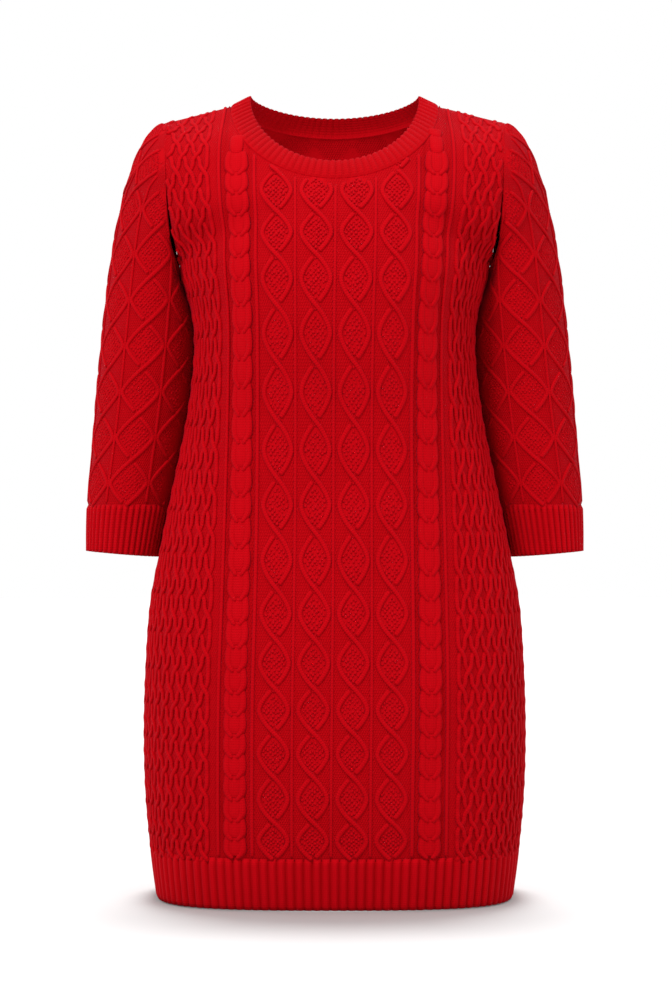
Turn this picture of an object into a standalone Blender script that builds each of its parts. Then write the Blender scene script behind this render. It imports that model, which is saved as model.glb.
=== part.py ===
"""A three-quarter sleeve sweater dress in cable knit, filled out as it is worn, with nobody in it.

Five knitted pieces make it: front and back with their hem ribs knitted on, two sleeves with their
cuffs knitted on, and the neckband. X runs across the dress towards the viewer's right, the front
faces -Y, +Z is up, and the origin is where the wearer's shoulders hold the dress, on its middle
plane at the height of the shoulders. Sizes are in millimetres until a vertex is placed.
"""

import math

import bmesh
import bpy
from mathutils import Vector

MM = 0.001

# ---------------------------------------------------------------- driving sizes
CLOTH = 3.0  # thickness of the knitted wall, from the cables' crests to the inside
SEAM_GAP = 0.3  # space between two pieces that are sewn together
HEM_Z = -865.0
ARMPIT_Z = -176.0
ARMHOLE_HALF_WIDTH = 184.0  # from the middle plane to the top of the armhole
SHOULDER_TIP_Z = -10.0
SHOULDER_SLOPE = 0.25
ARMHOLE_DEPTH = 66.0  # the armhole's reach forwards, and the same backwards
ARMHOLE_SQUARE = 2.0
RIM_FADE = 10.0  # how closely the armhole's shape keeps to its edge near the armpit
FOLD_LEAN = 0.6  # how far the two walls lean apart at the armpit's fold, as a share of the cloth
SHOULDER_ROUNDING = {"front": 150.0, "back": 105.0}  # height of the turn over the shoulder

NECK_HALF_WIDTH = 114.0  # at the seam between the body and the neckband
NECK_DROP = {"front": 92.0, "back": 24.0}
NECK_CURVE = {"front": 1.05, "back": 1.4}
BAND_HALF_WIDTH = 93.0  # the neckband's free edge, in the shoulders' plane
BAND_TOP_Z = 18.5
BAND_DROP = {"front": 82.5, "back": 14.5}
BAND_REACH = {"front": 88.0, "back": 73.0}
BAND_CURVE = {"front": 1.05, "back": 1.5}
BAND_BULGE = 1.6
BAND_CLOTH = 3.0

NECK_COLUMNS = 8  # columns of facets from the middle to the neck's corner
SIDE_COLUMNS = 6  # and from there to the side
NECK_GRADING = 1.45  # an angle: the columns close up as a circle's do, towards the neck's corner
BODY_ROWS = 14  # rows of facets from the hem to the armpit, closer towards the armpit
ROW_GRADING = 1.5
ARMHOLE_ROWS = 10
BAND_ROWS = 3

KNIT_RED = (0.47, 0.004, 0.009, 1.0)
KNIT_ROUGHNESS = 0.85

# The body's level sections. square is the section's superellipse power, and edge the power of its
# last turn into the side: the same as square on a round side, and near 1 at an armhole.
BODY = (
    # height, half_width, front, back, square, edge
    (-865.0, 196.0, 128.0, 118.0, 2.9, 2.9),
    (-822.0, 202.0, 131.0, 122.0, 2.8, 2.8),
    (-756.0, 208.7, 135.0, 129.0, 2.6, 2.6),
    (-684.0, 211.0, 137.0, 133.0, 2.5, 2.5),
    (-606.0, 208.7, 135.0, 132.0, 2.5, 2.5),
    (-540.0, 203.7, 130.0, 125.0, 2.4, 2.4),
    (-470.0, 190.0, 124.0, 112.0, 2.4, 2.4),
    (-407.0, 176.6, 120.0, 101.0, 2.4, 2.4),
    (-340.0, 163.0, 121.0, 96.0, 2.4, 2.4),
    (-275.0, 155.0, 129.0, 97.0, 2.4, 2.4),
    (-230.0, 156.5, 133.0, 100.0, 2.4, 2.3),
    (-176.0, 171.0, 131.0, 104.0, 2.4, 2.1),
    (-114.0, 181.5, 118.0, 104.0, 2.5, 1.2),
    (-64.0, 184.0, 96.0, 98.0, 2.5, 1.1),
    (50.0, 184.0, 78.0, 84.0, 2.5, 1.1),
)

# A sleeve's rings below the armhole: the outer point, the height of the inner point and how far
# it hangs clear of the body's side, half of the depth from front to back, and how far the ring's
# middle sits behind the dress's own middle plane.
SLEEVE = (
    # outer_x, outer_z, inner_z, clear, depth, behind
    (198.0, -16.0, -183.0, 3.2, 66.0, 1.0),
    (211.0, -30.5, -191.0, 3.0, 65.5, 3.5),
    (222.5, -52.0, -202.0, 2.6, 65.0, 7.0),
    (232.5, -80.0, -217.0, 2.2, 64.0, 11.0),
    (242.5, -120.0, -236.0, 2.0, 63.0, 15.0),
    (250.5, -165.0, -257.0, 2.0, 62.0, 18.0),
    (256.5, -209.0, -281.0, 2.0, 61.0, 21.0),
    (262.5, -265.0, -317.0, 2.0, 59.0, 23.0),
    (267.8, -320.0, -353.0, 2.0, 56.5, 25.0),
    (272.0, -375.0, -398.0, 2.0, 53.5, 25.0),
    (275.5, -413.0, -428.0, 2.0, 50.5, 25.0),
    (276.8, -436.0, -445.0, 2.0, 48.5, 25.0),
    (277.5, -462.0, -470.0, 2.0, 47.0, 25.0),
    (277.5, -486.0, -493.0, 2.0, 46.0, 25.0),
)

SIDES = {"front": -1.0, "back": 1.0}


# ---------------------------------------------------------------- reading the tables
def read(table, column, height):
    """A smooth value of one column between the table's rows, which rise in height."""
    low = max(i for i in range(len(table) - 1) if i == 0 or table[i][0] <= height)

    def slope(i):
        first, last = max(i - 1, 0), min(i + 1, len(table) - 1)
        return (table[last][column] - table[first][column]) / (table[last][0] - table[first][0])

    (z0, v0), (z1, v1) = ((table[i][0], table[i][column]) for i in (low, low + 1))
    step = z1 - z0
    t = min(max((height - z0) / step, 0.0), 1.0)
    rise = v0 * (2 * t**3 - 3 * t**2 + 1) + v1 * (3 * t**2 - 2 * t**3)
    return rise + step * (slope(low) * (t**3 - 2 * t**2 + t) + slope(low + 1) * (t**3 - t**2))


def half_width(z):
    return read(BODY, 1, z)


# ---------------------------------------------------------------- the body's form
def shoulder_line(x):
    return SHOULDER_TIP_Z + (ARMHOLE_HALF_WIDTH - abs(x)) * SHOULDER_SLOPE


def armhole_reach(below):
    """How far the armhole's edge lies from the middle plane, at a depth below the shoulder line."""
    half = (SHOULDER_TIP_Z - ARMPIT_Z) / 2
    turn = abs(below - half) / half
    return ARMHOLE_DEPTH * (1 - turn**ARMHOLE_SQUARE) ** (1 / ARMHOLE_SQUARE) if turn < 1 else 0.0


def body_depth(side, x, z):
    """How far the front or back stands from the middle plane, over the point (x, z)."""
    reach, square, edge = read(BODY, 2 if side == "front" else 3, z), read(BODY, 4, z), read(BODY, 5, z)
    below = max(shoulder_line(x) - z, 0.0)
    turn = 1 - min(below / SHOULDER_ROUNDING[side], 1.0)
    reach *= math.sqrt(1 - turn**3)
    across = min(abs(x) / half_width(z), 1.0)
    bulge = (1 - across**square) ** (1 / edge)
    rim = armhole_reach(below)
    rim *= (1 - bulge) ** (1 + RIM_FADE * (1 - rim / ARMHOLE_DEPTH) ** 2)
    return max(rim + reach * bulge, SEAM_GAP / 2)


def side_x(z, behind):
    """The half width of the back at a height and a distance behind the middle plane."""
    depth, square, edge = (read(BODY, column, z) for column in (3, 4, 5))
    return half_width(z) * (1 - (behind / depth) ** edge) ** (1 / square)


def neck_line(side, x):
    """The height of the seam between the body and the neckband."""
    top = shoulder_line(NECK_HALF_WIDTH)
    level = max(1 - (x / NECK_HALF_WIDTH) ** 2, 0.0)
    return top - NECK_DROP[side] * level ** (NECK_CURVE[side] / 2)


def column_share(across):
    """The share of the half width at which a column of the panel runs. It is odd in across."""
    place = abs(across) * (NECK_COLUMNS + SIDE_COLUMNS)
    corner = NECK_HALF_WIDTH / ARMHOLE_HALF_WIDTH
    if place <= NECK_COLUMNS:
        share = corner * math.sin(NECK_GRADING * place / NECK_COLUMNS) / math.sin(NECK_GRADING)
    else:
        rest = 1 - (place - NECK_COLUMNS) / SIDE_COLUMNS
        share = corner + (1 - corner) * (1 - rest**2)
    return math.copysign(share, across)


def row_height(side, share, up):
    """The height of a panel's row on one column: level to the armpit, and then fanned to its top."""
    place = up * (BODY_ROWS + ARMHOLE_ROWS)
    if place <= BODY_ROWS:
        return ARMPIT_Z + (HEM_Z - ARMPIT_Z) * (1 - place / BODY_ROWS) ** ROW_GRADING
    x = abs(share) * ARMHOLE_HALF_WIDTH
    top = shoulder_line(x) if x >= NECK_HALF_WIDTH - 0.01 else neck_line(side, x)
    turn = (1 - math.cos(math.pi * (place - BODY_ROWS) / ARMHOLE_ROWS)) / 2
    return ARMPIT_Z + (top - ARMPIT_Z) * turn


def panel_point(side, across, up):
    """The outer face of the front or back, at across from -1 to 1 and up from 0 to 1."""
    share = column_share(across)
    z = row_height(side, share, up)
    x = share * half_width(z)
    return Vector((x, SIDES[side] * body_depth(side, x, z), z))


def armhole_inward(side, hand, turn, piece):
    """The way through the cloth at the armhole, with turn from 0 at the armpit to 1 at the shoulder.

    It lies in the armhole's plane, and near the armpit, where the cloth folds back on itself, it
    leans away from the seam: piece is -1 for the body's cloth and 1 for the sleeve's.
    """
    angle = math.pi * turn
    half = (SHOULDER_TIP_Z - ARMPIT_Z) / 2
    inward = Vector((0.0, -SIDES[side] * math.sin(angle) / ARMHOLE_DEPTH, math.cos(angle) / half))
    inward.normalize()
    inward.x = hand * piece * FOLD_LEAN * max(math.cos(angle), 0.0) ** 2
    return inward


def panel_inside(side, across, up):
    """The point one cloth's thickness in from panel_point."""
    point = panel_point(side, across, up)
    row = up * (BODY_ROWS + ARMHOLE_ROWS) - BODY_ROWS
    if abs(across) == 1.0 and row > -0.01:
        return point + armhole_inward(side, across, row / ARMHOLE_ROWS, -1.0) * CLOTH
    step = 0.004
    right, left = min(across + step, 1.0), max(across - step, -1.0)
    above, below = min(up + step, 1.0), max(up - step, 0.0)
    along = panel_point(side, right, up) - panel_point(side, left, up)
    rise = panel_point(side, across, above) - panel_point(side, across, below)
    outward = along.cross(rise) * -SIDES[side]
    if abs(point.y) < SEAM_GAP:  # on a seam, front and back share the way through the cloth
        shoulder = Vector((math.copysign(SHOULDER_SLOPE, across), 0.0, 1.0))
        outward = shoulder if up == 1.0 else Vector((rise.z, 0.0, -rise.x)) * across
    return point - outward.normalized() * CLOTH


# ---------------------------------------------------------------- the sleeves' form
def armhole_point(hand, around, wall):
    """A point of the armhole, with around from 0 at the armpit, forwards over the shoulder and back."""
    turn = around * 2 * ARMHOLE_ROWS
    side, row = ("front", turn) if turn <= ARMHOLE_ROWS else ("back", 2 * ARMHOLE_ROWS - turn)
    point = panel_point(side, hand, (BODY_ROWS + row) / (BODY_ROWS + ARMHOLE_ROWS))
    if min(turn % ARMHOLE_ROWS, -turn % ARMHOLE_ROWS) < 0.01:
        point.y = 0.0
    point.x += hand * SEAM_GAP
    return point + armhole_inward(side, hand, row / ARMHOLE_ROWS, 1.0) * wall


def sleeve_point(hand, around, row, wall):
    """A sleeve's outer face, or its inner face if wall is the cloth's thickness. Row 0 is sewn in."""
    if row == 0:
        return armhole_point(hand, around, wall)
    outer_x, outer_z, inner_z, clear, depth, behind = SLEEVE[row - 1]
    outer = Vector((hand * outer_x, behind, outer_z))
    inner = Vector((hand * (side_x(inner_z, behind) + clear), behind, inner_z))
    middle, half = (outer + inner) / 2, (outer - inner) / 2
    turn = 2 * math.pi * around
    half *= 1 - wall / half.length
    return middle - half * math.cos(turn) - Vector((0.0, (depth - wall) * math.sin(turn), 0.0))


# ---------------------------------------------------------------- the neckband's form
def neck_place(around):
    """The side, and the share of the half width, of a place around the neck from its left corner."""
    turn = around % 1.0 * 4 * NECK_COLUMNS
    if turn <= 2 * NECK_COLUMNS:
        side, column = "front", turn - NECK_COLUMNS
    else:
        side, column = "back", 3 * NECK_COLUMNS - turn
    return side, column / (NECK_COLUMNS + SIDE_COLUMNS)


def band_edge(around):
    """The neckband's free edge."""
    side, across = neck_place(around)
    x = column_share(across) * ARMHOLE_HALF_WIDTH / NECK_HALF_WIDTH * BAND_HALF_WIDTH
    level = math.sqrt(max(1 - (x / BAND_HALF_WIDTH) ** 2, 0.0))
    y = SIDES[side] * BAND_REACH[side] * level
    return Vector((x, y, BAND_TOP_Z - BAND_DROP[side] * level ** BAND_CURVE[side]))


def band_seam(around, place):
    """The neckband's lower edge, which is sewn to the body at place, its outer or its inner face."""
    side, across = neck_place(around)
    seam = place(side, across, 1.0)
    if abs(column_share(across)) * ARMHOLE_HALF_WIDTH > NECK_HALF_WIDTH - 0.01:
        seam.y = 0.0
    rise = band_edge(around) - panel_point(side, across, 1.0)
    return seam + rise.normalized() * SEAM_GAP


def band_point(around, up, wall):
    """The neckband's outer face, or its inner face if wall is the cloth's thickness."""
    if up == 0.0:
        return band_seam(around, panel_inside if wall else panel_point)
    seam, edge = band_seam(around, panel_point), band_edge(around)
    step = 0.01
    ahead, behind = (around + step) % 1.0, (around - step) % 1.0
    along = band_seam(ahead, panel_point) + band_edge(ahead)
    along -= band_seam(behind, panel_point) + band_edge(behind)
    outward = along.cross(edge - seam).normalized()
    return seam.lerp(edge, up) + outward * (BAND_BULGE * math.sin(math.pi * up) - wall)


# ---------------------------------------------------------------- making the solids
def knit_material(name):
    material = bpy.data.materials.new(name)
    material.use_nodes = True
    shader = material.node_tree.nodes["Principled BSDF"]
    shader.inputs["Base Color"].default_value = KNIT_RED
    shader.inputs["Roughness"].default_value = KNIT_ROUGHNESS
    shader.inputs["Metallic"].default_value = 0.0
    return material


def make_wall(name, columns, rows, outer, inner):
    """A grid laid on outer(column, row), then extruded to inner(column, row) as a closed wall.

    Columns whose first and last points meet are welded, so that the piece is a tube.
    """
    bm = bmesh.new()
    column_of = bm.verts.layers.float.new("column")
    row_of = bm.verts.layers.float.new("row")
    bmesh.ops.create_grid(bm, x_segments=columns, y_segments=rows, size=0.5)
    for vert in bm.verts:
        vert[column_of] = round((vert.co.x + 0.5) * columns)
        vert[row_of] = round((vert.co.y + 0.5) * rows)
        vert.co = outer(vert[column_of], vert[row_of]) * MM
    bmesh.ops.remove_doubles(bm, verts=bm.verts, dist=1e-7)
    skin = bmesh.ops.extrude_face_region(bm, geom=bm.faces[:])
    inside = {vert for vert in skin["geom"] if isinstance(vert, bmesh.types.BMVert)}
    for vert in inside:
        vert.co = inner(vert[column_of], vert[row_of]) * MM
    # Each quad of the rim is cut from its lower outer corner, as on the piece it is sewn to.
    for face in [f for f in bm.faces if 0 < sum(vert in inside for vert in f.verts) < 4]:
        corners = list(face.verts)
        low = min((vert for vert in corners if vert not in inside), key=lambda vert: vert.co.z)
        bmesh.utils.face_split(face, low, corners[(corners.index(low) + 2) % 4])
    bmesh.ops.triangulate(bm, faces=bm.faces)
    bmesh.ops.recalc_face_normals(bm, faces=bm.faces)
    mesh = bpy.data.meshes.new(name)
    bm.to_mesh(mesh)
    bm.free()
    mesh.materials.append(knit_material(name + "_knit"))
    mesh.shade_smooth()
    mesh.set_sharp_from_angle(angle=math.radians(50))
    piece = bpy.data.objects.new(name, mesh)
    bpy.context.scene.collection.objects.link(piece)
    return piece


def make_panel(side):
    columns, rows = 2 * (NECK_COLUMNS + SIDE_COLUMNS), BODY_ROWS + ARMHOLE_ROWS

    def outer(column, row):
        return panel_point(side, 2 * column / columns - 1, row / rows)

    def inner(column, row):
        return panel_inside(side, 2 * column / columns - 1, row / rows)

    return make_wall(side, columns, rows, outer, inner)


def make_sleeve(name, hand):
    columns = 2 * ARMHOLE_ROWS

    def outer(column, row):
        return sleeve_point(hand, column / columns, int(row), 0.0)

    def inner(column, row):
        return sleeve_point(hand, column / columns, int(row), CLOTH)

    return make_wall(name, columns, len(SLEEVE), outer, inner)


def make_neckband():
    columns = 4 * NECK_COLUMNS

    def outer(column, row):
        return band_point(column / columns, row / BAND_ROWS, 0.0)

    def inner(column, row):
        return band_point(column / columns, row / BAND_ROWS, BAND_CLOTH)

    return make_wall("neckband", columns, BAND_ROWS, outer, inner)


for old in list(bpy.data.objects):
    bpy.data.objects.remove(old)

make_panel("front")
make_panel("back")
make_sleeve("sleeve_right", -1.0)  # the wearer's right hand is on the viewer's left
make_sleeve("sleeve_left", 1.0)
make_neckband()
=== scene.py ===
# %% [markdown]
# # A sweater dress in red cable knit
# The dress stands filled out as it is worn, with nobody in it. Five knitted pieces make it: a front,
# a back, two sleeves and a neckband. This lesson gives each of them its cloth, its ribs and its
# cables, in the places that the engineering model already fixes. We start by loading that model,
# because every later size is measured from it.

# %% Load the frame
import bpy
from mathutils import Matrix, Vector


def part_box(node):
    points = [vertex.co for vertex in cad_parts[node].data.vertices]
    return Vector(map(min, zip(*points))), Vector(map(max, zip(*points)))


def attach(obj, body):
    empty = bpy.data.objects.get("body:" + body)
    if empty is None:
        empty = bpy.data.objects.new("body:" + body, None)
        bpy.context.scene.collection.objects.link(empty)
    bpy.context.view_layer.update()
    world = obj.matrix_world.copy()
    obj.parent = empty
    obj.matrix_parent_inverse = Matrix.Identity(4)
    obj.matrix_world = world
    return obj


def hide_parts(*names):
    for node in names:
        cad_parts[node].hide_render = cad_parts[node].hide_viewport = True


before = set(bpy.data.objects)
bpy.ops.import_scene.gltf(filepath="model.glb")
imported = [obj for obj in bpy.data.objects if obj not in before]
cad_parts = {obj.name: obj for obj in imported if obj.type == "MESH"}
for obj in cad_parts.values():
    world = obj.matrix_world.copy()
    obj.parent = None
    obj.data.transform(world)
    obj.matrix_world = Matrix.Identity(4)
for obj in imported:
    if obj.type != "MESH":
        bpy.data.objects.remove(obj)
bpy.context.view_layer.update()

import math

import bmesh
import bpy
import numpy as np
from mathutils import Matrix, Vector

MM = 0.001
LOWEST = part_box("front")[0][2]
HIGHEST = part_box("neckband")[1][2]
print("the dress is", round((HIGHEST - LOWEST) / MM), "mm tall")

# %% [markdown]
# ## The camera
# A garment picture is taken straight on, from the height of the garment's middle, with a long lens
# so that the hem and the shoulders aren't seen at very different angles. We stand 2.9 m away.

# %% Camera
CAMERA_AWAY = 2.9
SENSOR_HEIGHT, LENS = 24.0, 62.37  # both in millimetres
VIEW_MIDDLE = LOWEST + 0.431
VIEW_SHIFT = 0.0014  # the camera stands a hair to the right of the dress's middle


def put(name, data):
    """A new object in the scene."""
    thing = bpy.data.objects.new(name, data)
    bpy.context.scene.collection.objects.link(thing)
    return thing


camera_data = bpy.data.cameras.new("camera")
camera_data.sensor_fit = "VERTICAL"
camera_data.sensor_height = SENSOR_HEIGHT
camera_data.lens = LENS
camera = put("camera", camera_data)
camera.location = (VIEW_SHIFT, -CAMERA_AWAY, VIEW_MIDDLE)
camera.rotation_euler = (math.pi / 2, 0.0, 0.0)
bpy.context.scene.camera = camera
print("camera at", tuple(round(v, 3) for v in camera.location))

# %% [markdown]
# ## The studio
# Catalogue pictures of knitwear are lit by a white tent: soft light from everywhere, with a little
# more from high on one side, so that the cables cast faint shadows. A white world does the tent's
# work, and three large area lamps model the rest.

# %% Lamps and tent
LAMPS = (
    # name, place, target, size, power
    ("key_lamp", (-1.2, -1.9, 2.0), (0.0, 0.0, -0.4), 0.9, 80.0),
    ("top_lamp", (0.3, -0.5, 2.1), (0.0, 0.0, -0.3), 1.0, 16.0),
    ("fill_lamp", (2.0, -1.9, -0.4), (0.0, 0.0, -0.55), 1.6, 11.0),
)


def area_lamp(name, place, target, size, power):
    lamp = bpy.data.lights.new(name, "AREA")
    lamp.shape = "DISK"
    lamp.size = size
    lamp.energy = power
    stand = put(name, lamp)
    stand.location = place
    aim = Vector(target) - Vector(place)
    stand.rotation_euler = aim.to_track_quat("-Z", "Y").to_euler()


for lamp in LAMPS:
    area_lamp(*lamp)

tent = bpy.data.worlds.new("tent")
tent.use_nodes = True
white = tent.node_tree.nodes["Background"].inputs
white["Color"].default_value = (1.0, 1.0, 1.0, 1.0)
white["Strength"].default_value = 1.0
bpy.context.scene.world = tent
bpy.context.scene.view_settings.view_transform = "Standard"
print("lamps on the dress:", len(LAMPS))

# %% [markdown]
# ## The floor and its skylight
# The floor is plain and pale, and lies just under the hem. The lamps don't reach it. A broad
# skylight from above and a little behind lights it instead, so that the dress's soft shadow falls
# forward, close to the hem. A lamp is told what to light by a collection of pieces.

# %% Floor and skylight
FLOOR_HALF, FLOOR_DROP = 9.0, 0.001
FLOOR_GREY = 0.55
FLOOR_GLOW = 0.05  # the light that a tent's white cloth lets up through the floor
SKYLIGHT = 1.0  # its strength beside the tent's
SKYLIGHT_TILT, SKYLIGHT_ANGLE = 10.8, 12.5  # in degrees: its lean, and how broad it looks


def collect(name, pieces):
    """A collection that says which pieces a lamp lights, or which ones shade it."""
    group = bpy.data.collections.new(name)
    for piece in pieces:
        group.objects.link(piece)
    return group


bm = bmesh.new()
bmesh.ops.create_grid(bm, x_segments=4, y_segments=4, size=FLOOR_HALF)
bmesh.ops.translate(bm, verts=bm.verts, vec=(0.0, 0.0, LOWEST - FLOOR_DROP))
floor_mesh = bpy.data.meshes.new("floor")
bm.to_mesh(floor_mesh)
bm.free()
floor_paint = bpy.data.materials.new("pale_floor")
floor_paint.use_nodes = True
for socket, value in (
    ("Base Color", (FLOOR_GREY, FLOOR_GREY, FLOOR_GREY, 1.0)),
    ("Roughness", 0.9),
    ("Emission Color", (1.0, 1.0, 1.0, 1.0)),
    ("Emission Strength", FLOOR_GLOW),
):
    floor_paint.node_tree.nodes["Principled BSDF"].inputs[socket].default_value = value
floor_mesh.materials.append(floor_paint)
floor = put("floor", floor_mesh)

unlit = collect("not_lit_by_lamps", [floor])
unlit.collection_objects[0].light_linking.link_state = "EXCLUDE"
for name, *_ in LAMPS:
    bpy.data.objects[name].light_linking.receiver_collection = unlit

skylight_data = bpy.data.lights.new("skylight", "SUN")
skylight_data.angle = math.radians(SKYLIGHT_ANGLE)
skylight_data.energy = SKYLIGHT * math.pi
skylight = put("skylight", skylight_data)
skylight.rotation_euler = (math.radians(-SKYLIGHT_TILT), 0.0, 0.0)
skylight.light_linking.receiver_collection = collect("floor_only", [floor])
print("the floor lies", round((FLOOR_DROP - LOWEST) / MM), "mm below the shoulders")

# %% [markdown]
# ## The cut of the dress
# The engineering model's walls are faceted, and its outer face is where the crests of the cables
# lie. To lay yarn on it we need the smooth form behind the facets, so we state the same level
# sections here. Each is a superellipse: a rounded rectangle whose squareness is a number. All of
# the form is in millimetres, and becomes metres when a mesh is placed.

# %% Sections of the body
HEM_Z = -865.0
ARMPIT_Z = -176.0
ARMHOLE_HALF_WIDTH = 184.0
SHOULDER_TIP_Z = -10.0
SHOULDER_SLOPE = 0.25
ARMHOLE_DEPTH = 66.0  # the armhole is an ellipse, this deep before and behind its middle
RIM_FADE = 10.0  # how soon the body's own section takes over from the armhole's
LEAST_DEPTH = 0.15
SHOULDER_ROUNDING = {"front": 150.0, "back": 105.0}
NECK_HALF_WIDTH = 114.0
NECK_DROP = {"front": 92.0, "back": 24.0}
NECK_CURVE = {"front": 1.05, "back": 1.4}
SIDES = {"front": -1.0, "back": 1.0}

BODY = np.array((
    # height, half_width, front, back, square, edge
    (-865.0, 196.0, 128.0, 118.0, 2.9, 2.9),
    (-822.0, 202.0, 131.0, 122.0, 2.8, 2.8),
    (-756.0, 208.7, 135.0, 129.0, 2.6, 2.6),
    (-684.0, 211.0, 137.0, 133.0, 2.5, 2.5),
    (-606.0, 208.7, 135.0, 132.0, 2.5, 2.5),
    (-540.0, 203.7, 130.0, 125.0, 2.4, 2.4),
    (-470.0, 190.0, 124.0, 112.0, 2.4, 2.4),
    (-407.0, 176.6, 120.0, 101.0, 2.4, 2.4),
    (-340.0, 163.0, 121.0, 96.0, 2.4, 2.4),
    (-275.0, 155.0, 129.0, 97.0, 2.4, 2.4),
    (-230.0, 156.5, 133.0, 100.0, 2.4, 2.3),
    (-176.0, 171.0, 131.0, 104.0, 2.4, 2.1),
    (-114.0, 181.5, 118.0, 104.0, 2.5, 1.2),
    (-64.0, 184.0, 96.0, 98.0, 2.5, 1.1),
    (50.0, 184.0, 78.0, 84.0, 2.5, 1.1),
))
HALF_WIDTH, FRONT, BACK, SQUARE, EDGE = range(1, 6)  # the columns after the height
print("the body has", len(BODY), "sections")

# %% [markdown]
# ## Rings of the sleeves
# A sleeve leaves the armhole and turns down, so level sections don't suit it. We state leaning
# rings instead, each by its outer end, its inner end against the body, and its depth. From the
# armhole down they also move a little behind the middle of the dress, as resting arms do.

# %% Rings of the sleeves

SLEEVE = np.array((
    # outer_x, outer_z, inner_z, clear, depth, behind
    (198.0, -16.0, -183.0, 3.2, 66.0, 1.0),
    (211.0, -30.5, -191.0, 3.0, 65.5, 3.5),
    (222.5, -52.0, -202.0, 2.6, 65.0, 7.0),
    (232.5, -80.0, -217.0, 2.2, 64.0, 11.0),
    (242.5, -120.0, -236.0, 2.0, 63.0, 15.0),
    (250.5, -165.0, -257.0, 2.0, 62.0, 18.0),
    (256.5, -209.0, -281.0, 2.0, 61.0, 21.0),
    (262.5, -265.0, -317.0, 2.0, 59.0, 23.0),
    (267.8, -320.0, -353.0, 2.0, 56.5, 25.0),
    (272.0, -375.0, -398.0, 2.0, 53.5, 25.0),
    (275.5, -413.0, -428.0, 2.0, 50.5, 25.0),
    (276.8, -436.0, -445.0, 2.0, 48.5, 25.0),
    (277.5, -462.0, -470.0, 2.0, 47.0, 25.0),
    (277.5, -486.0, -493.0, 2.0, 46.0, 25.0),
))
print("a sleeve has", len(SLEEVE), "rings")

# %% [markdown]
# ## From sections to a surface
# Between the sections the form has to run smoothly, or the cables on it would show kinks. So each
# number of a section follows a cubic curve up the dress. Near the shoulder the depth shrinks to the
# shoulder's line, and near the armhole it gives way to the armhole's own ellipse.

# %% The surface of the body


def between(low, high, leave, arrive, t, step=1.0):
    """A smooth way from low to high, with the slopes that it leaves and arrives with."""
    rise = low * (2 * t**3 - 3 * t**2 + 1) + high * (3 * t**2 - 2 * t**3)
    return rise + step * (leave * (t**3 - 2 * t**2 + t) + arrive * (t**3 - t**2))


def read(table, column, at):
    """A smooth value of one column between the table's rows, whose first column rises."""
    place, value = table[:, 0], table[:, column]
    slope = np.empty(len(place))
    slope[1:-1] = (value[2:] - value[:-2]) / (place[2:] - place[:-2])
    slope[0] = (value[1] - value[0]) / (place[1] - place[0])
    slope[-1] = (value[-1] - value[-2]) / (place[-1] - place[-2])
    low = np.clip(np.searchsorted(place, at, side="right") - 1, 0, len(place) - 2)
    step = place[low + 1] - place[low]
    t = np.clip((at - place[low]) / step, 0.0, 1.0)
    return between(value[low], value[low + 1], slope[low], slope[low + 1], t, step)


def half_width(z):
    return read(BODY, HALF_WIDTH, z)


def shoulder_line(x):
    return SHOULDER_TIP_Z + (ARMHOLE_HALF_WIDTH - np.abs(x)) * SHOULDER_SLOPE


def body_depth(side, x, z):
    """How far the front or back stands from the middle plane, over the point (x, z)."""
    reach = read(BODY, FRONT if side == "front" else BACK, z)
    below = np.maximum(shoulder_line(x) - z, 0.0)
    turn = 1 - np.minimum(below / SHOULDER_ROUNDING[side], 1.0)
    reach = reach * np.sqrt(1 - turn**3)
    across = np.minimum(np.abs(x) / half_width(z), 1.0)
    bulge = (1 - across ** read(BODY, SQUARE, z)) ** (1 / read(BODY, EDGE, z))
    armhole_half = (SHOULDER_TIP_Z - ARMPIT_Z) / 2
    rise = np.minimum(np.abs(below - armhole_half) / armhole_half, 1.0)
    rim = ARMHOLE_DEPTH * np.sqrt(1 - rise**2)
    rim = rim * (1 - bulge) ** (1 + RIM_FADE * (1 - rim / ARMHOLE_DEPTH) ** 2)
    return np.maximum(rim + reach * bulge, LEAST_DEPTH)


def side_x(z, behind):
    """The half width of the back at a height and a distance behind the middle plane."""
    depth, square, edge = (read(BODY, column, z) for column in (BACK, SQUARE, EDGE))
    return half_width(z) * (1 - (behind / depth) ** edge) ** (1 / square)


def neck_line(side, x):
    """The height of the seam between the body and the neckband."""
    level = np.maximum(1 - (x / NECK_HALF_WIDTH) ** 2, 0.0)
    return shoulder_line(NECK_HALF_WIDTH) - NECK_DROP[side] * level ** (NECK_CURVE[side] / 2)


for part, z in (("hips", -684.0), ("waist", -275.0)):
    print(part, round(2 * float(half_width(z))), "mm wide")

# %% [markdown]
# ## A chart of each piece
# A knitter thinks in two numbers: how far across the piece, and how many pattern repeats up it.
# The diamonds cross at every whole repeat. A chart turns those two numbers into a place and a
# direction in space, whatever the cloth curves round, so a cable can be described once as a simple
# wave and then laid on the front, the back or a sleeve. We work it out by walking along the form
# and measuring, first up each column and then across each row.

# %% The chart
ROWS_IN_REPEAT = 18  # rows of stitches
ROW_STEP = 1 / ROWS_IN_REPEAT
ACROSS_STEP = 2.5


def unit(vectors):
    return vectors / np.maximum(np.linalg.norm(vectors, axis=-1, keepdims=True), 1e-9)


def walk(points, axis):
    """The length walked along one axis of a grid of points, from its first point."""
    steps = np.linalg.norm(np.diff(points, axis=axis), axis=-1)
    start = np.zeros_like(np.take(steps, [0], axis=axis))
    return np.concatenate([start, np.cumsum(steps, axis=axis)], axis=axis)


def form_normals(grid):
    """Directions out of the form. Along a seam they are the same for the cloth on both its sides."""
    normals = unit(np.cross(np.gradient(grid, axis=1), np.gradient(grid, axis=0)))
    if np.abs(grid[:, 0] - grid[:, -1]).max() < 1e-6:
        normals[:, 0] = normals[:, -1] = unit(normals[:, 0] + normals[:, -1])
    else:
        normals[:, [0, -1], 1] = 0.0
        normals = unit(normals)
    return normals


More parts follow.
